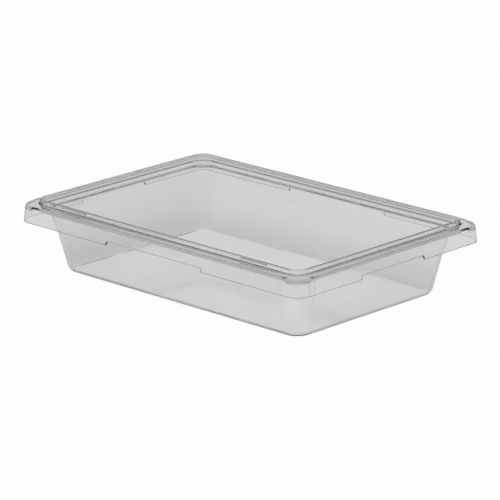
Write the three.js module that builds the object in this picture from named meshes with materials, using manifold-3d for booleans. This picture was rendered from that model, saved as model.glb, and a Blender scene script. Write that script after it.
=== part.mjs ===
// Clear food storage pan: an open tub with drafted walls, and a flat rim that carries a raised lid bead and a
// skirt turned down at its outer edge. Millimetres, +Z up, origin in the middle of the underside.
// Front is -Y, right is +X. The pan is one moulding, and each node is one region of it.

import * as THREE from 'three';
import { mergeVertices } from 'three/addons/utils/BufferGeometryUtils.js';
import Module from 'manifold-3d';

const wasm = await Module();
wasm.setup();

// Driving dimensions
const overallLength = 457;
const overallWidth = 307;
const overallHeight = 88;
const wallThickness = 3;
const gap = 0.3;

// Floor and the radius that joins it to the walls
const floorInset = 42.8;
const floorCornerRadius = 14;
const heelRadius = 8;

// Walls: outward draft per millimetre of height, and how much of it widens the corner radius
const wallDraft = 0.24;
const cornerShare = 0.55;

// Rim
const skirtFlare = 2;
const skirtDepth = 26;
const skirtThickness = 2.6;
const skirtCornerRadius = 19.5;
const gripRise = 4.7;
const gripHalfLengthOnLongSide = 77;
const gripHalfLengthOnShortSide = 51.5;
const ledgeReach = 12.5;
const ledgeThickness = 3;
const ledgeCornerRadius = 18.5;
const beadHeight = 5.2;
const beadThickness = 4;
const beadCornerRadius = 17;
const beadEdgeRadius = 1.2;
const shoulderDrop = 11.2;
const shoulderThickness = 2.2;
const collarThickness = 3;

// Snap lugs on the outer face of the lid bead, two on each long side
const lugLength = 41;
const lugCentre = 145.5;
const lugHeight = 2.4;
const lugReach = 1.2;

// Fineness of the round stretches
const cornerSegments = 9;
const heelSegments = 6;
const edgeSegments = 3;

// Heights
const ledgeTop = overallHeight - beadHeight;
const ledgeBottom = ledgeTop - ledgeThickness;
const skirtBottom = overallHeight - skirtDepth;
const shoulderTop = overallHeight - shoulderDrop;
const shoulderBottom = shoulderTop - shoulderThickness;

// Wall section: the heel arc hands over to the drafted wall at heelTop
const draftAngle = Math.atan(wallDraft);
const wallSpan = wallThickness / Math.cos(draftAngle);
const heelTop = heelRadius - (heelRadius - wallThickness) * Math.sin(draftAngle);
const heelInnerOffset = (heelRadius - wallThickness) * Math.cos(draftAngle);
const heelOuterOffset = heelInnerOffset + wallSpan;
const coneGrowth = cornerShare * wallDraft;
const axisLean = wallDraft - coneGrowth;

// Half sizes of the contours that the regions follow
const half = (inset) => ({ x: overallLength / 2 - inset, y: overallWidth / 2 - inset });
const floorHalf = half(floorInset);
const ledgeHalf = half(skirtFlare);
const beadHalf = half(skirtFlare + ledgeReach);

const sides = [
  { name: 'right', turn: 0, across: 'x', along: 'y' },
  { name: 'back', turn: 1, across: 'y', along: 'x' },
  { name: 'left', turn: 2, across: 'x', along: 'y' },
  { name: 'front', turn: 3, across: 'y', along: 'x' },
];
const corners = [
  { name: 'back_right', turn: 0, x: 1, y: 1 },
  { name: 'back_left', turn: 1, x: -1, y: 1 },
  { name: 'front_left', turn: 2, x: -1, y: -1 },
  { name: 'front_right', turn: 3, x: 1, y: -1 },
];

const pan = new THREE.Group();

function clearPlastic() {
  return new THREE.MeshStandardMaterial({
    color: 0xd5d8d9,
    roughness: 0.12,
    metalness: 0,
    transparent: true,
    opacity: 0.35,
  });
}

function addNode(name, geometry, x = 0, y = 0, turn = 0) {
  const mesh = new THREE.Mesh(geometry, clearPlastic());
  mesh.name = name;
  mesh.position.set(x, y, 0);
  mesh.rotation.z = (turn * Math.PI) / 2;
  pan.add(mesh);
}

// Outlines

function arc(centreX, centreY, radius, fromAngle, toAngle, segments) {
  const points = [];
  for (let i = 0; i <= segments; i += 1) {
    const angle = fromAngle + ((toAngle - fromAngle) * i) / segments;
    points.push(new THREE.Vector2(centreX + radius * Math.cos(angle), centreY + radius * Math.sin(angle)));
  }
  return points;
}

function roundedRectangle(halfX, halfY, radius) {
  const quarter = Math.PI / 2;
  const points = [];
  for (const [index, [x, y]] of [[1, 1], [-1, 1], [-1, -1], [1, -1]].entries()) {
    const start = index * quarter;
    const bend = arc(x * (halfX - radius), y * (halfY - radius), radius, start, start + quarter, cornerSegments);
    points.push(...bend);
  }
  return points;
}

// Solids

function toManifold(geometry) {
  const bare = geometry.clone();
  bare.deleteAttribute('normal');
  bare.deleteAttribute('uv');
  const merged = mergeVertices(bare);
  const vertProperties = new Float32Array(merged.attributes.position.array);
  const triVerts = new Uint32Array(merged.index.array);
  return new wasm.Manifold(new wasm.Mesh({ numProp: 3, vertProperties, triVerts }));
}

function toGeometry(manifold) {
  const mesh = manifold.getMesh();
  const geometry = new THREE.BufferGeometry();
  geometry.setAttribute('position', new THREE.BufferAttribute(mesh.vertProperties, 3));
  geometry.setIndex(new THREE.BufferAttribute(mesh.triVerts, 1));
  return geometry;
}

function box(low, high) {
  const size = high.map((value, axis) => value - low[axis]);
  const middle = high.map((value, axis) => (value + low[axis]) / 2);
  return new THREE.BoxGeometry(...size).translate(...middle);
}

// Moves every point outwards in X, and in Y too for a corner, in proportion to its height
function lean(geometry, slopeX, slopeY) {
  return geometry.applyMatrix4(new THREE.Matrix4().set(1, 0, slopeX, 0, 0, 1, slopeY, 0, 0, 0, 1, 0, 0, 0, 0, 1));
}

// A plate between two heights with a rounded rectangular hole
function ringPlate(outer, inner, low, high) {
  const shape = new THREE.Shape(roundedRectangle(...outer));
  shape.holes.push(new THREE.Path(roundedRectangle(...inner)));
  return new THREE.ExtrudeGeometry(shape, { depth: high - low, bevelEnabled: false }).translate(0, 0, low);
}

// A straight length of a section drawn in X and Z, running along Y
function straightRun(section, length) {
  const run = new THREE.ExtrudeGeometry(new THREE.Shape(section), { depth: length, bevelEnabled: false });
  return run.rotateX(Math.PI / 2).translate(0, length / 2, 0);
}

// The quarter of a full ring that faces +X and +Y, set back by the gap from its neighbours
function quarterOf(ring) {
  const reach = overallLength;
  const quadrant = box([gap, gap, -reach], [reach, reach, reach]);
  return toGeometry(toManifold(ring).intersect(toManifold(quadrant)));
}

// A quarter turn of a section drawn in X and Z, about an axis that stands radius inside X = 0
function quarterTurn(section, radius) {
  const points = section.map((point) => new THREE.Vector2(point.x + radius, point.y));
  points.push(points[0].clone());
  return quarterOf(new THREE.LatheGeometry(points, 4 * cornerSegments).rotateX(Math.PI / 2));
}

// The same section run along all four sides and turned round all four corners of a contour
function addSectionLoop(name, section, contour, radius) {
  for (const side of sides) {
    const run = straightRun(section, 2 * (contour[side.along] - radius));
    addOnSide(`${name}_${side.name}`, run.translate(contour[side.across], 0, 0), side);
  }
  for (const corner of corners) {
    addOnCorner(`${name}_corner_${corner.name}`, quarterTurn(section, radius), corner, contour, radius);
  }
}

function addOnSide(name, geometry, side) {
  addNode(name, geometry, 0, 0, side.turn);
}

function addOnCorner(name, geometry, corner, contour, radius) {
  addNode(name, geometry, corner.x * (contour.x - radius), corner.y * (contour.y - radius), corner.turn);
}

// Tub

function addFloor() {
  const outline = roundedRectangle(floorHalf.x - gap, floorHalf.y - gap, floorCornerRadius - gap);
  const plate = new THREE.ExtrudeGeometry(new THREE.Shape(outline), { depth: wallThickness, bevelEnabled: false });
  addNode('floor_panel', plate);
}

function addHeel() {
  const section = [
    ...arc(0, heelRadius, heelRadius, -Math.PI / 2, -draftAngle, heelSegments),
    new THREE.Vector2(heelOuterOffset, heelTop),
    ...arc(0, heelRadius, heelRadius - wallThickness, -draftAngle, -Math.PI / 2, heelSegments),
  ];
  addSectionLoop('floor_radius', section, floorHalf, floorCornerRadius);
}

function wallPanel(distance, halfRun) {
  const low = heelTop + gap;
  const high = shoulderBottom - gap;
  const lowRun = halfRun + axisLean * gap;
  const highRun = halfRun + axisLean * (high - heelTop);
  const outline = [
    new THREE.Vector2(-lowRun, low),
    new THREE.Vector2(lowRun, low),
    new THREE.Vector2(highRun, high),
    new THREE.Vector2(-highRun, high),
  ];
  const sheet = new THREE.ExtrudeGeometry(new THREE.Shape(outline), { depth: wallSpan, bevelEnabled: false });
  const upright = new THREE.Matrix4().makeBasis(
    new THREE.Vector3(0, 1, 0),
    new THREE.Vector3(0, 0, 1),
    new THREE.Vector3(1, 0, 0),
  );
  sheet.applyMatrix4(upright).translate(0, 0, -heelTop);
  return lean(sheet, wallDraft, 0).translate(distance + heelInnerOffset, 0, heelTop);
}

function wallCorner() {
  const innerRadius = floorCornerRadius + heelInnerOffset;
  const low = gap;
  const high = shoulderBottom - gap - heelTop;
  const section = [
    new THREE.Vector2(coneGrowth * low, low),
    new THREE.Vector2(coneGrowth * low + wallSpan, low),
    new THREE.Vector2(coneGrowth * high + wallSpan, high),
    new THREE.Vector2(coneGrowth * high, high),
  ];
  return lean(quarterTurn(section, innerRadius), axisLean, axisLean).translate(0, 0, heelTop);
}

function addWalls() {
  for (const side of sides) {
    const panel = wallPanel(floorHalf[side.across], floorHalf[side.along] - floorCornerRadius);
    addOnSide(`wall_${side.name}`, panel, side);
  }
  for (const corner of corners) {
    addOnCorner(`wall_corner_${corner.name}`, wallCorner(), corner, floorHalf, floorCornerRadius);
  }
}

// Rim

function addShoulder() {
  const wallRise = shoulderTop - heelTop;
  const mouthReach = heelInnerOffset + wallDraft * wallRise;
  const mouthRadius = floorCornerRadius + heelInnerOffset + coneGrowth * wallRise;
  const collarInset = beadThickness - collarThickness;
  const mouth = [floorHalf.x + mouthReach, floorHalf.y + mouthReach, mouthRadius];
  const outer = [beadHalf.x - collarInset, beadHalf.y - collarInset, beadCornerRadius - collarInset];
  const inner = [beadHalf.x - beadThickness, beadHalf.y - beadThickness, beadCornerRadius - beadThickness];
  addNode('inner_shoulder', ringPlate(outer, mouth, shoulderBottom, shoulderTop));
  addNode('rim_collar', ringPlate(outer, inner, shoulderTop + gap, ledgeBottom - gap));
}

function addLedge() {
  const outer = [ledgeHalf.x, ledgeHalf.y, ledgeCornerRadius];
  const inner = [beadHalf.x - beadThickness, beadHalf.y - beadThickness, beadCornerRadius - beadThickness];
  const plate = toManifold(ringPlate(outer, inner, ledgeBottom, ledgeTop));
  const cornerX = Math.min(outer[0] - outer[2], inner[0] - inner[2]);
  const cornerY = Math.min(outer[1] - outer[2], inner[1] - inner[2]);
  const far = overallLength;
  const cut = (low, high) => toGeometry(plate.intersect(toManifold(box(low, high))));
  addNode('rim_ledge_right', cut([0, -cornerY, 0], [far, cornerY, far]));
  addNode('rim_ledge_left', cut([-far, -cornerY, 0], [0, cornerY, far]));
  addNode('rim_ledge_back', cut([-cornerX, 0, 0], [cornerX, far, far]));
  addNode('rim_ledge_front', cut([-cornerX, -far, 0], [cornerX, 0, far]));
  const startX = cornerX + gap;
  const startY = cornerY + gap;
  for (const { name, x, y } of corners) {
    const low = [x > 0 ? startX : -far, y > 0 ? startY : -far, 0];
    const high = [x > 0 ? far : -startX, y > 0 ? far : -startY, far];
    addNode(`rim_ledge_corner_${name}`, cut(low, high));
  }
}

function addBead() {
  const low = ledgeTop + gap;
  const high = overallHeight;
  const section = [
    new THREE.Vector2(-beadThickness, low),
    new THREE.Vector2(0, low),
    ...arc(-beadEdgeRadius, high - beadEdgeRadius, beadEdgeRadius, 0, Math.PI / 2, edgeSegments),
    ...arc(
      beadEdgeRadius - beadThickness,
      high - beadEdgeRadius,
      beadEdgeRadius,
      Math.PI / 2,
      Math.PI,
      edgeSegments,
    ),
  ];
  addSectionLoop('lid_bead', section, beadHalf, beadCornerRadius);
}

function addSnapLugs() {
  const middle = (ledgeTop + overallHeight) / 2;
  const section = [
    new THREE.Vector2(gap, middle - lugHeight / 2),
    new THREE.Vector2(gap + lugReach, middle),
    new THREE.Vector2(gap, middle + lugHeight / 2),
  ];
  for (const side of sides.filter(({ along }) => along === 'x')) {
    for (const [end, direction] of [['left', -1], ['right', 1]]) {
      const facing = side.name === 'back' ? -1 : 1;
      const lug = straightRun(section, lugLength);
      lug.translate(beadHalf[side.across], facing * direction * lugCentre, 0);
      addOnSide(`lid_snap_lug_${side.name}_${end}`, lug, side);
    }
  }
}

function skirtSection() {
  const top = ledgeBottom - gap;
  const topReach = (skirtFlare * (ledgeTop - top)) / (ledgeTop - skirtBottom) - skirtFlare;
  return [
    new THREE.Vector2(-skirtThickness, skirtBottom),
    new THREE.Vector2(0, skirtBottom),
    new THREE.Vector2(topReach, top),
    new THREE.Vector2(topReach - skirtThickness, top),
  ];
}

function addSkirt() {
  const contour = half(0);
  const section = skirtSection();
  const gripHalfLength = { x: gripHalfLengthOnLongSide, y: gripHalfLengthOnShortSide };
  for (const side of sides) {
    const run = straightRun(section, 2 * (contour[side.along] - skirtCornerRadius));
    const grip = gripHalfLength[side.along];
    const relief = box([-overallWidth, -grip, 0], [overallWidth, grip, skirtBottom + gripRise]);
    const skirt = toGeometry(toManifold(run).subtract(toManifold(relief)));
    addOnSide(`skirt_${side.name}`, skirt.translate(contour[side.across], 0, 0), side);
  }
  for (const corner of corners) {
    const bend = quarterTurn(section, skirtCornerRadius);
    addOnCorner(`skirt_corner_${corner.name}`, bend, corner, contour, skirtCornerRadius);
  }
}

addFloor();
addHeel();
addWalls();
addShoulder();
addLedge();
addBead();
addSnapLugs();
addSkirt();

export default pan;
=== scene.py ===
import math
from collections import namedtuple

import bpy
from mathutils import Matrix, Vector


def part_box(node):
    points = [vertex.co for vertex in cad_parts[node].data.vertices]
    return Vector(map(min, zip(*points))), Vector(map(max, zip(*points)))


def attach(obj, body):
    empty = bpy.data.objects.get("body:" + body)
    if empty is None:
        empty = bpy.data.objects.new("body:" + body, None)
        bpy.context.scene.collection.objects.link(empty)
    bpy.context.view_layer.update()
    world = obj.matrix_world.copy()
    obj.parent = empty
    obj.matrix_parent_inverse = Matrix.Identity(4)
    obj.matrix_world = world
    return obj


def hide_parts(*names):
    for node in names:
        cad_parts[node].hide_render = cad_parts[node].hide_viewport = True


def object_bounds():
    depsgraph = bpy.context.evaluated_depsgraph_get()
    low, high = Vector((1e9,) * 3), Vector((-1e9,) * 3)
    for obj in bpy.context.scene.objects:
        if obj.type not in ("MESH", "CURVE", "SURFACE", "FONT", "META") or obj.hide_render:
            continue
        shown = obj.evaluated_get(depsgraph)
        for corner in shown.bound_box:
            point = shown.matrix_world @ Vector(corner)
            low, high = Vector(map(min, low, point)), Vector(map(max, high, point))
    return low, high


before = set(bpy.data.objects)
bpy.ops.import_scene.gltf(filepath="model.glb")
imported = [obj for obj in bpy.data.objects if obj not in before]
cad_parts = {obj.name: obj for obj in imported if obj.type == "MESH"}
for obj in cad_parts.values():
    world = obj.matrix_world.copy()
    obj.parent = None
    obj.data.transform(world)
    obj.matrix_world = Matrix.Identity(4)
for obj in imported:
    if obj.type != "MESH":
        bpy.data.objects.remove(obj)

CAD_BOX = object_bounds()

# Camera: where it stands, how it leans and how long its lens is
AZIMUTH = math.radians(44.63)
ELEVATION = math.radians(17.0)
ROLL = math.radians(-0.63)
DISTANCE = 3.989
AIM_RIGHT = 0.00245
AIM_UP = -0.00592
LENS_MM = 247.6

# Walls: how far they lean out and how much their corner radius grows, per metre of height, and how much
# smaller that radius is inside than outside, in wall thicknesses
WALL_DRAFT = 0.24
CORNER_GROWTH = 0.17
INNER_CORNER_LOSS = 3.0
SKIRT_THICKNESS = 0.0026

# Details that are finer than a node's box
GRIP_RISE = 0.0047
GRIP_HALF_X = 0.077
GRIP_HALF_Y = 0.0515
GRIP_EASE = 0.0009
LUG_CENTRE = 0.1455
LUG_HALF = 0.0205
LUG_REACH = 0.0014
LUG_EASE = 0.0003
LUG_ROOM = 0.001
LUG_STEPS = 6

# Rounding of the section's corners. The ledge is rounder at the rim's four corners than along its sides, and
# CORNER_EASE is half the length over which one goes over into the other.
HEEL_OUTER = 0.008
HEEL_INNER = 0.0025
WALL_ROOT = 0.0030
COLLAR_FOOT = 0.0018
LEDGE_ROOT, LEDGE_EDGE = 0.0014, 0.0012
CORNER_LEDGE_ROOT, CORNER_LEDGE_EDGE = 0.0046, 0.0040
CORNER_EASE = 0.004
SKIRT_EDGE = 0.0003
BEAD_ROOT = 0.0022
BEAD_CROWN = 0.0006
SHOULDER_ROOT = 0.0011
MOUTH_EDGE = 0.0008

# Corner radii of the contours seen from above
FLOOR_CORNER = 0.014
BEAD_CORNER = 0.017
LEDGE_CORNER = 0.0185
SKIRT_CORNER = 0.0195

# Fineness of the mesh. EDGE_CUTS are the cuts across the end of a grip, a lug or a corner, in shares of its
# ease.
ARC_STEPS = 6
CORNER_STEPS = 18
SIDE_STEPS = 10
EDGE_CUTS = (-1.0, -0.5, 0.0, 0.5, 1.0)
FLOOR_MARGIN = 0.002
TOUCH = 1e-6

# What keeps the flat faces flat: a narrow strip beside each bend, and full weight for large faces
HOLD = 0.0001
LARGE_FACE_WEIGHT = 100

# The plastic: waviness and ripple of its surface (features per metre, depth in metres), rub marks and their
# look, and its body's refractive index and absorption per metre
WAVE_SCALE, WAVE_DEPTH = 14.0, 0.0004
RIPPLE_SCALE, RIPPLE_DEPTH = 70.0, 0.00002
PATCH_SCALE = 9.0
PATCH_EDGE = (0.45, 0.62)
MARK_STRETCHES = ((12.0, 1400.0, 1400.0), (1400.0, 12.0, 1400.0))
MARK_EDGE = (0.60, 0.68)
CLEAR_ROUGHNESS, MARKED_ROUGHNESS = 0.05, 0.14
CLEAR_TINT, MARKED_TINT = 1.0, 0.95
REFRACTIVE_INDEX = 1.585
ABSORPTION = 7.0

# Light: the backdrop as the camera sees it, the paper as it shows through the pan (its glow by distance in
# metres from the floor panel's edge: painted light under the floor panel and a painted shadow of the rim in a
# band round it), and the room's light by the sine of its elevation
BACKDROP = (0.985, 0.985, 0.985, 1)
PAPER_COLOUR = (0.62, 0.62, 0.62, 1)
# The paper's glow is painted light and shade: brighter under the floor panel, a painted shadow in a band
# round it
PAPER_PAINTED_LIGHT_AND_SHADOW = [(0.0, 0.60), (0.004, 0.385), (0.060, 0.385), (0.095, 0.42)]
OVERHEAD_LIGHT = [(0.30, 0.0), (0.65, 0.52), (0.90, 0.44), (1.0, 0.44)]
BACK_LIGHT = [(0.0, 0.0), (0.30, 0.60), (0.65, 0.0)]
LEFT_LIGHT = [(0.0, 0.65), (0.30, 0.0)]
LOBE_SHARPNESS = 2.0

# Softbox above the camera: its elevation, distance, width and height, and power in watts
SOFTBOX_ELEVATION = math.radians(45)
SOFTBOX_DISTANCE = 2.5
SOFTBOX_SIZE = (0.6, 0.6)
SOFTBOX_POWER = 3

# Paper: half its side, and its level just under the pan's underside
PAPER_REACH = 12.0
PAPER_LEVEL = -0.0004

# How near and how far the camera sees, and how often light may bounce, go through plastic and go straight on
CLIP_START, CLIP_END = 0.1, 100
BOUNCES, PLASTIC_PASSES, CLEAR_PASSES = 24, 20, 16


# ---------------------------------------------------------------- section

class Corner:
    """A corner of the pan's section: how far in it lies from the overall outline, its height, the corner
    radius of the outline there seen from above, the rounding of the section, and what it takes part in."""

    def __init__(self, inset, height, radius, rounding=0.0, part=""):
        self.point = Vector((inset, height))
        self.radius = radius
        self.rounding = rounding
        self.part = part


Station = namedtuple("Station", "inset height radius part swell", defaults=("", 0.0))


def station_at(corner, place):
    """A point near a corner of the section. Its outline stays parallel to the corner's own."""
    radius = corner.radius + corner.point.x - place.x
    return Station(place.x, place.y, radius, corner.part)


def stations(corners):
    """The section with every inner corner rounded."""
    result = [station_at(corners[0], corners[0].point)]
    for before, corner, after in zip(corners, corners[1:], corners[2:]):
        result += rounded(before, corner, after)
    result.append(station_at(corners[-1], corners[-1].point))
    return result


def rounded(before, corner, after):
    """The arc that rounds a corner between its neighbours, with a narrow flat strip at each end."""
    if corner.rounding == 0.0:
        return [station_at(corner, corner.point)]
    towards = (before.point - corner.point).normalized()
    onwards = (after.point - corner.point).normalized()
    half_angle = towards.angle(onwards) / 2
    reach = corner.rounding / math.tan(half_angle)
    centre = corner.point + (towards + onwards).normalized() * (corner.rounding / math.sin(half_angle))
    start = corner.point + towards * reach - centre
    end = corner.point + onwards * reach - centre
    turn = math.copysign(math.pi - 2 * half_angle, start.cross(end))
    places = [corner.point + towards * (reach + HOLD)]
    for step in range(ARC_STEPS + 1):
        places.append(centre + Matrix.Rotation(turn * step / ARC_STEPS, 2) @ start)
    places.append(corner.point + onwards * (reach + HOLD))
    return [station_at(corner, place) for place in places]


def pan_section(ledge_root, ledge_edge_rounding):
    """From the middle of the underside out and up to the rim, and back down to the middle of the floor."""
    overall_y = CAD_BOX[1].y
    crown = CAD_BOX[1].z
    floor_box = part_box("floor_panel")
    heel_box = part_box("floor_radius_back")
    shoulder_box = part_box("inner_shoulder")
    ledge_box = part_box("rim_ledge_back")
    bead_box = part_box("lid_bead_back")
    skirt_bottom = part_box("skirt_corner_back_right")[0].z

    thickness = floor_box[1].z - floor_box[0].z
    wall_span = thickness * math.hypot(1, WALL_DRAFT)
    floor_edge = overall_y - heel_box[0].y
    heel_reach = heel_box[1].y - heel_box[0].y
    heel_top = heel_box[1].z
    shoulder_bottom, shoulder_top = shoulder_box[0].z, shoulder_box[1].z
    collar = overall_y - shoulder_box[1].y
    ledge_bottom, ledge_top = ledge_box[0].z, ledge_box[1].z
    ledge_edge = overall_y - ledge_box[1].y
    bead_outer = overall_y - bead_box[1].y
    bead_inner = overall_y - bead_box[0].y
    collar_corner = BEAD_CORNER - (collar - bead_outer)
    bead_inner_corner = BEAD_CORNER - (bead_inner - bead_outer)
    skirt_lean = ledge_edge / (ledge_top - skirt_bottom)
    skirt_inner_top = skirt_lean * (ledge_bottom - skirt_bottom) + SKIRT_THICKNESS

    def wall_corner(height, inward, rounding):
        inset = floor_edge - heel_reach - WALL_DRAFT * (height - heel_top) + inward
        radius = FLOOR_CORNER + heel_reach + CORNER_GROWTH * (height - heel_top) - inward * INNER_CORNER_LOSS
        return Corner(inset, height, radius, rounding)

    def heel_corner(height, inward, rounding):
        corner = wall_corner(height, inward, rounding)
        corner.radius = FLOOR_CORNER + floor_edge - corner.point.x
        return corner

    def floor_corner(inset, height):
        return Corner(inset, height, FLOOR_CORNER - (inset - floor_edge))

    return [
        floor_corner(floor_edge + FLOOR_MARGIN, 0.0),
        floor_corner(floor_edge, 0.0),
        heel_corner(0.0, 0.0, HEEL_OUTER),
        wall_corner(shoulder_bottom, 0.0, WALL_ROOT),
        Corner(collar, shoulder_bottom, collar_corner, COLLAR_FOOT),
        Corner(collar, ledge_bottom, collar_corner, LEDGE_ROOT),
        Corner(skirt_inner_top, ledge_bottom, SKIRT_CORNER - skirt_inner_top, ledge_root),
        Corner(SKIRT_THICKNESS, skirt_bottom, SKIRT_CORNER - SKIRT_THICKNESS, SKIRT_EDGE, "skirt foot"),
        Corner(0.0, skirt_bottom, SKIRT_CORNER, SKIRT_EDGE, "skirt foot"),
        Corner(ledge_edge, ledge_top, LEDGE_CORNER, ledge_edge_rounding),
        Corner(bead_outer, ledge_top, BEAD_CORNER, BEAD_ROOT),
        Corner(bead_outer, crown, BEAD_CORNER, BEAD_CROWN),
        Corner(bead_inner, crown, bead_inner_corner, BEAD_CROWN),
        Corner(bead_inner, shoulder_top, bead_inner_corner, SHOULDER_ROOT),
        wall_corner(shoulder_top, wall_span, MOUTH_EDGE),
        heel_corner(thickness, wall_span, HEEL_INNER),
        floor_corner(floor_edge, thickness),
        floor_corner(floor_edge + FLOOR_MARGIN, thickness),
    ]


def with_lug_levels(section, face):
    """Adds levels to the bead's upright outer face, where the snap lugs swell out of it."""
    result = []
    for station, following in zip(section, section[1:]):
        result.append(station)
        on_face = abs(station.inset - face) < TOUCH and abs(following.inset - face) < TOUCH
        rise = following.height - station.height
        if on_face and rise > LUG_ROOM:
            for step in range(1, LUG_STEPS):
                share = step / LUG_STEPS
                swell = math.sin(math.pi * share)
                result.append(Station(face, station.height + rise * share, station.radius, "lug", swell))
    result.append(section[-1])
    return result


# ---------------------------------------------------------------- shell

def eased(distance, edge, ease):
    """1 well inside the edge, 0 well outside it, with a smooth step between."""
    share = min(max((edge - distance) / (2 * ease) + 0.5, 0.0), 1.0)
    return share * share * (3 - 2 * share)


def side_cuts(half_run, features):
    """Where a straight side is cut, as fractions of half its length. Each feature's edge gets close cuts."""
    cuts = {step / SIDE_STEPS for step in range(-SIDE_STEPS, SIDE_STEPS + 1)}
    cuts |= {HOLD / half_run - 1, 1 - HOLD / half_run}
    for edge, ease in features:
        for offset in EDGE_CUTS:
            cut = (edge + offset * ease) / half_run
            cuts |= {-cut, cut}
    return sorted(cuts)


def corner_arc(centre_x, centre_y, radius, from_degrees):
    points = []
    for step in range(1, CORNER_STEPS):
        angle = math.radians(from_degrees + 90 * step / CORNER_STEPS)
        points.append((centre_x + radius * math.cos(angle), centre_y + radius * math.sin(angle)))
    return points


def outline(half_x, half_y, radius, cuts_x, cuts_y):
    """A rounded rectangle, anticlockwise from the left end of its front side."""
    run_x, run_y = half_x - radius, half_y - radius
    points = [(run_x * cut, -half_y) for cut in cuts_x]
    points += corner_arc(run_x, -run_y, radius, -90)
    points += [(half_x, run_y * cut) for cut in cuts_y]
    points += corner_arc(run_x, run_y, radius, 0)
    points += [(run_x * cut, half_y) for cut in reversed(cuts_x)]
    points += corner_arc(-run_x, run_y, radius, 90)
    points += [(-half_x, run_y * cut) for cut in reversed(cuts_y)]
    points += corner_arc(-run_x, -run_y, radius, 180)
    return points


def lifted_foot(x, y, half_x, half_y, height, lean):
    """The skirt's lower edge, raised in the middle of each side, where it follows the skirt's lean."""
    on_long_side = half_y - abs(y) < TOUCH
    on_short_side = half_x - abs(x) < TOUCH
    if on_long_side:
        lift = GRIP_RISE * eased(abs(x), GRIP_HALF_X, GRIP_EASE)
        return x, y - math.copysign(lift * lean, y), height + lift
    if on_short_side:
        lift = GRIP_RISE * eased(abs(y), GRIP_HALF_Y, GRIP_EASE)
        return x - math.copysign(lift * lean, x), y, height + lift
    return x, y, height


def swollen_lug(x, y, half_y, swell):
    """The bead's outer face, with a low rounded lug near each end of the long sides."""
    if half_y - abs(y) > TOUCH:
        return y
    along = eased(abs(abs(x) - LUG_CENTRE), LUG_HALF, LUG_EASE)
    return y + math.copysign(LUG_REACH * along * swell, y)


def shell_ring(station, cuts_x, cuts_y, skirt_lean):
    """The whole outline at one station of the section, with the grips and the lugs where they pass it."""
    half_x = CAD_BOX[1].x - station.inset
    half_y = CAD_BOX[1].y - station.inset
    ring = []
    for x, y in outline(half_x, half_y, station.radius, cuts_x, cuts_y):
        place = (x, y, station.height)
        if station.part == "skirt foot":
            place = lifted_foot(x, y, half_x, half_y, station.height, skirt_lean)
        elif station.part == "lug":
            place = (x, swollen_lug(x, y, half_y, station.swell), station.height)
        ring.append(Vector(place))
    return ring


def corner_shares(cuts_x, cuts_y, run_x, run_y):
    """For each point of a ring, 1 round the corners, easing to 0 along the sides."""
    shares = []
    for cuts, run in ((cuts_x, run_x), (cuts_y, run_y)) * 2:
        shares += [1 - eased(abs(cut) * run, run - CORNER_EASE, CORNER_EASE) for cut in cuts]
        shares += [1.0] * (CORNER_STEPS - 1)
    return shares


def build_shell():
    """The whole pan as one skin, from one section along the sides and a rounder one at the corners."""
    half_x, half_y = CAD_BOX[1].xy
    skirt_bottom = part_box("skirt_corner_back_right")[0].z
    ledge_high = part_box("rim_ledge_back")[1]
    skirt_lean = (half_y - ledge_high.y) / (ledge_high.z - skirt_bottom)
    bead_face = half_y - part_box("lid_bead_back")[1].y

    skirt_run_x, skirt_run_y = half_x - SKIRT_CORNER, half_y - SKIRT_CORNER
    bead_run_x = half_x - bead_face - BEAD_CORNER
    lug_ends = [(LUG_CENTRE - LUG_HALF, LUG_EASE), (LUG_CENTRE + LUG_HALF, LUG_EASE)]
    ends_x = [(GRIP_HALF_X, GRIP_EASE), (skirt_run_x - CORNER_EASE, CORNER_EASE)]
    ends_y = [(GRIP_HALF_Y, GRIP_EASE), (skirt_run_y - CORNER_EASE, CORNER_EASE)]
    cuts_x = sorted({*side_cuts(skirt_run_x, ends_x), *side_cuts(bead_run_x, lug_ends)})
    cuts_y = side_cuts(skirt_run_y, ends_y)
    shares = corner_shares(cuts_x, cuts_y, skirt_run_x, skirt_run_y)

    side_section, corner_section = (
        with_lug_levels(stations(pan_section(*roundings)), bead_face)
        for roundings in ((LEDGE_ROOT, LEDGE_EDGE), (CORNER_LEDGE_ROOT, CORNER_LEDGE_EDGE))
    )
    rings = []
    for on_side, on_corner in zip(side_section, corner_section):
        side_ring = shell_ring(on_side, cuts_x, cuts_y, skirt_lean)
        corner_ring = shell_ring(on_corner, cuts_x, cuts_y, skirt_lean)
        rings.append([a.lerp(b, share) for a, b, share in zip(side_ring, corner_ring, shares)])
    return lofted("clear_pan_shell", rings)


def lofted(name, rings):
    """A closed smooth mesh through rings of points, with a flat cap on its first and last ring."""
    count = len(rings[0])
    verts = [place for ring in rings for place in ring]
    faces = []
    for start in range(0, len(verts) - count, count):
        for i in range(count):
            j = (i + 1) % count
            faces.append((start + i, start + j, start + count + j, start + count + i))
    faces.append(tuple(reversed(range(count))))
    faces.append(tuple(range(len(verts) - count, len(verts))))
    mesh = bpy.data.meshes.new(name)
    mesh.from_pydata(verts, [], faces)
    mesh.shade_smooth()
    piece = bpy.data.objects.new(name, mesh)
    bpy.context.scene.collection.objects.link(piece)
    flatten = piece.modifiers.new("flat_faces_stay_flat", "WEIGHTED_NORMAL")
    flatten.mode = "FACE_AREA"
    flatten.weight = LARGE_FACE_WEIGHT
    return piece


# ---------------------------------------------------------------- node graphs

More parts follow.
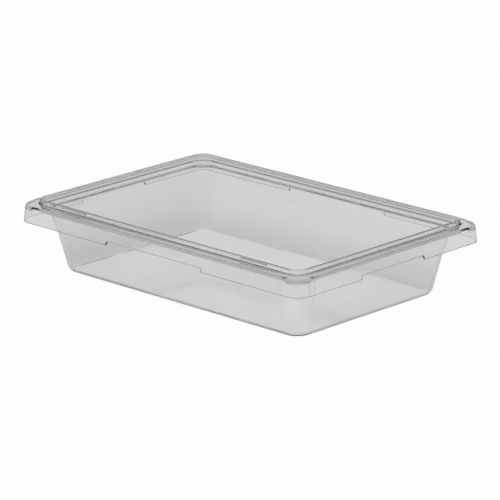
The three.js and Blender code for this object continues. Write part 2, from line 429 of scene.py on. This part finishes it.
class Graph:
    """Short calls for adding linked nodes to a node tree."""

    def __init__(self, tree):
        tree.nodes.clear()
        self.tree = tree

    def add(self, kind, inputs=(), **settings):
        """Adds a node. Its inputs are given by name, or in their order."""
        node = self.tree.nodes.new(kind)
        for name, value in settings.items():
            setattr(node, name, value)
        pairs = inputs.items() if isinstance(inputs, dict) else enumerate(inputs)
        for key, value in pairs:
            self.feed(node.inputs[key], value)
        return node

    def feed(self, socket, value):
        if isinstance(value, bpy.types.NodeSocket):
            self.tree.links.new(value, socket)
        else:
            socket.default_value = value

    def math(self, operation, *inputs):
        return self.add("ShaderNodeMath", inputs, operation=operation).outputs[0]

    def vector(self, operation, *inputs):
        node = self.add("ShaderNodeVectorMath", inputs, operation=operation)
        return node.outputs["Value" if operation in ("LENGTH", "DOT_PRODUCT") else "Vector"]

    def noise(self, place, scale, detail=2.0):
        inputs = {"Vector": place, "Scale": scale, "Detail": detail}
        return self.add("ShaderNodeTexNoise", inputs).outputs["Fac"]

    def between(self, value, start, end, low, high):
        """Runs from low to high while the value runs from start to end, and stays level outside them."""
        inputs = {"Value": value, "From Min": start, "From Max": end, "To Min": low, "To Max": high}
        return self.add("ShaderNodeMapRange", inputs, clamp=True).outputs["Result"]

    def ramp(self, factor, stops):
        """A grey that follows the stops, each a place from 0 to 1 and a brightness."""
        node = self.add("ShaderNodeValToRGB", [factor])
        elements = node.color_ramp.elements
        while len(elements) < len(stops):
            elements.new(1.0)
        for element, (place, brightness) in zip(elements, stops):
            element.position = place
            element.color = (brightness, brightness, brightness, 1)
        return node.outputs["Color"]


# ---------------------------------------------------------------- materials

def rub_marks(graph, place, stretch):
    """Fine hairlines left by use and washing, long along one direction and thin across it."""
    streaks = graph.noise(graph.vector("MULTIPLY", place, stretch), 1.0, 4.0)
    patches = graph.noise(place, PATCH_SCALE)
    marks = graph.between(streaks, *MARK_EDGE, 0.0, 1.0)
    return graph.math("MULTIPLY", marks, graph.between(patches, *PATCH_EDGE, 0.0, 1.0))


def moulded_surface(graph, place):
    """The slight waviness of a moulded wall, with a finer ripple on it."""
    wave = graph.math("MULTIPLY", graph.noise(place, WAVE_SCALE, 0.0), WAVE_DEPTH)
    ripple = graph.math("MULTIPLY", graph.noise(place, RIPPLE_SCALE, 1.0), RIPPLE_DEPTH)
    height = graph.math("ADD", wave, ripple)
    inputs = {"Strength": 1.0, "Distance": 1.0, "Height": height}
    return graph.add("ShaderNodeBump", inputs).outputs["Normal"]


def clear_plastic():
    """Clear polycarbonate, polished, gently wavy and lightly marked by use."""
    material = bpy.data.materials.new("clear_polycarbonate")
    material.use_nodes = True
    graph = Graph(material.node_tree)
    place = graph.add("ShaderNodeTexCoord").outputs["Object"]
    marks = graph.math("MAXIMUM", *(rub_marks(graph, place, stretch) for stretch in MARK_STRETCHES))
    clarity = graph.between(marks, 0.0, 1.0, CLEAR_TINT, MARKED_TINT)
    skin = graph.add("ShaderNodeBsdfPrincipled", {
        "Base Color": clarity,
        "Roughness": graph.between(marks, 0.0, 1.0, CLEAR_ROUGHNESS, MARKED_ROUGHNESS),
        "Normal": moulded_surface(graph, place),
        "Transmission Weight": 1.0,
        "IOR": REFRACTIVE_INDEX,
    })
    dye = graph.add("ShaderNodeVolumeAbsorption", {"Color": (0.0, 0.0, 0.0, 1), "Density": ABSORPTION})
    outputs = {"Surface": skin.outputs["BSDF"], "Volume": dye.outputs["Volume"]}
    graph.add("ShaderNodeOutputMaterial", outputs)
    return material


# ---------------------------------------------------------------- studio

def paper_painted_light_and_shadow(graph):
    """The paper's glow, seen through the pan: painted light, brighter under the floor panel, then dimmed in a
    band round it as a painted shadow of the pan's rim, and full further out.
    """
    floor_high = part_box("floor_panel")[1]
    place = graph.add("ShaderNodeTexCoord").outputs["Object"]
    flat = graph.vector("MULTIPLY", graph.vector("ABSOLUTE", place), (1, 1, 0))
    outside = graph.vector("SUBTRACT", flat, (floor_high.x, floor_high.y, 0))
    distance = graph.vector("LENGTH", graph.vector("MAXIMUM", outside, (0, 0, 0)))
    return graph.ramp(distance, PAPER_PAINTED_LIGHT_AND_SHADOW)


def stage_material():
    material = bpy.data.materials.new("studio_floor")
    material.use_nodes = True
    graph = Graph(material.node_tree)
    paper = graph.add("ShaderNodeBsdfDiffuse", [PAPER_COLOUR]).outputs[0]
    # Painted light and shade on the paper: it glows brighter under the pan and dimmer in a band round it
    painted_glow = graph.add("ShaderNodeEmission", [paper_painted_light_and_shadow(graph)]).outputs[0]
    lit_and_painted_paper = graph.add("ShaderNodeAddShader", [paper, painted_glow]).outputs[0]
    backdrop = graph.add("ShaderNodeEmission", [BACKDROP]).outputs[0]
    seen_straight = graph.add("ShaderNodeLightPath").outputs["Is Camera Ray"]
    mix = graph.add("ShaderNodeMixShader", [seen_straight, lit_and_painted_paper, backdrop]).outputs[0]
    graph.add("ShaderNodeOutputMaterial", [mix])
    return material


def build_stage():
    signs = ((-1, -1), (1, -1), (1, 1), (-1, 1))
    corners = [(PAPER_REACH * x, PAPER_REACH * y, PAPER_LEVEL) for x, y in signs]
    mesh = bpy.data.meshes.new("studio_floor")
    mesh.from_pydata(corners, [], [(0, 1, 2, 3)])
    mesh.materials.append(stage_material())
    floor = bpy.data.objects.new("studio_floor", mesh)
    bpy.context.scene.collection.objects.link(floor)


def from_side(graph, flat_direction, azimuth):
    """1 for light that comes from this azimuth, falling to 0 at right angles to it."""
    towards = (math.sin(azimuth), -math.cos(azimuth), 0)
    cosine = graph.vector("DOT_PRODUCT", flat_direction, towards)
    return graph.math("POWER", graph.math("MAXIMUM", cosine, 0.0), LOBE_SHARPNESS)


def build_world():
    """A dim room with soft light overhead, behind the pan and low on its left."""
    world = bpy.data.worlds.new("studio")
    bpy.context.scene.world = world
    world.use_nodes = True
    graph = Graph(world.node_tree)
    direction = graph.add("ShaderNodeTexCoord").outputs["Generated"]
    height = graph.add("ShaderNodeSeparateXYZ", [direction]).outputs["Z"]
    flat = graph.vector("NORMALIZE", graph.vector("MULTIPLY", direction, (1, 1, 0)))
    total = graph.ramp(height, OVERHEAD_LIGHT)
    for azimuth, stops in ((AZIMUTH + math.pi, BACK_LIGHT), (AZIMUTH - math.pi / 2, LEFT_LIGHT)):
        lobe = graph.vector("MULTIPLY", graph.ramp(height, stops), from_side(graph, flat, azimuth))
        total = graph.vector("ADD", total, lobe)
    room = graph.add("ShaderNodeBackground", [total]).outputs[0]
    backdrop = graph.add("ShaderNodeBackground", [BACKDROP]).outputs[0]
    seen_straight = graph.add("ShaderNodeLightPath").outputs["Is Camera Ray"]
    mix = graph.add("ShaderNodeMixShader", [seen_straight, room, backdrop]).outputs[0]
    graph.add("ShaderNodeOutputWorld", [mix])


def area_light(name, place, size, power):
    data = bpy.data.lights.new(name, "AREA")
    data.shape = "RECTANGLE"
    data.size, data.size_y = size
    data.energy = power
    lamp = bpy.data.objects.new(name, data)
    lamp.location = place
    lamp.rotation_euler = (-Vector(place)).to_track_quat("-Z", "Y").to_euler()
    bpy.context.scene.collection.objects.link(lamp)


def build_lights():
    flat = SOFTBOX_DISTANCE * math.cos(SOFTBOX_ELEVATION)
    height = SOFTBOX_DISTANCE * math.sin(SOFTBOX_ELEVATION)
    place = (flat * math.sin(AZIMUTH), -flat * math.cos(AZIMUTH), height)
    area_light("front_softbox", place, SOFTBOX_SIZE, SOFTBOX_POWER)


def build_camera():
    back = Vector((
        math.sin(AZIMUTH) * math.cos(ELEVATION),
        -math.cos(AZIMUTH) * math.cos(ELEVATION),
        math.sin(ELEVATION),
    ))
    level = Vector((math.cos(AZIMUTH), math.sin(AZIMUTH), 0))
    upright = back.cross(level)
    right = math.cos(ROLL) * level + math.sin(ROLL) * upright
    up = math.cos(ROLL) * upright - math.sin(ROLL) * level
    middle = (CAD_BOX[0] + CAD_BOX[1]) / 2
    place = middle + AIM_RIGHT * level + AIM_UP * upright + DISTANCE * back
    data = bpy.data.cameras.new("camera")
    data.lens = LENS_MM
    data.clip_start = CLIP_START
    data.clip_end = CLIP_END
    camera = bpy.data.objects.new("camera", data)
    turn = Matrix((right, up, back)).transposed().to_4x4()
    camera.matrix_world = Matrix.Translation(place) @ turn
    bpy.context.scene.collection.objects.link(camera)
    bpy.context.scene.camera = camera


def set_render_look():
    scene = bpy.context.scene
    scene.view_settings.view_transform = "Standard"
    scene.cycles.use_denoising = True
    scene.cycles.max_bounces = BOUNCES
    scene.cycles.transmission_bounces = PLASTIC_PASSES
    scene.cycles.transparent_max_bounces = CLEAR_PASSES


build_camera()
shell = build_shell()
shell.data.materials.append(clear_plastic())
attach(shell, "root")
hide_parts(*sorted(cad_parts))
build_stage()
build_world()
build_lights()
set_render_look()
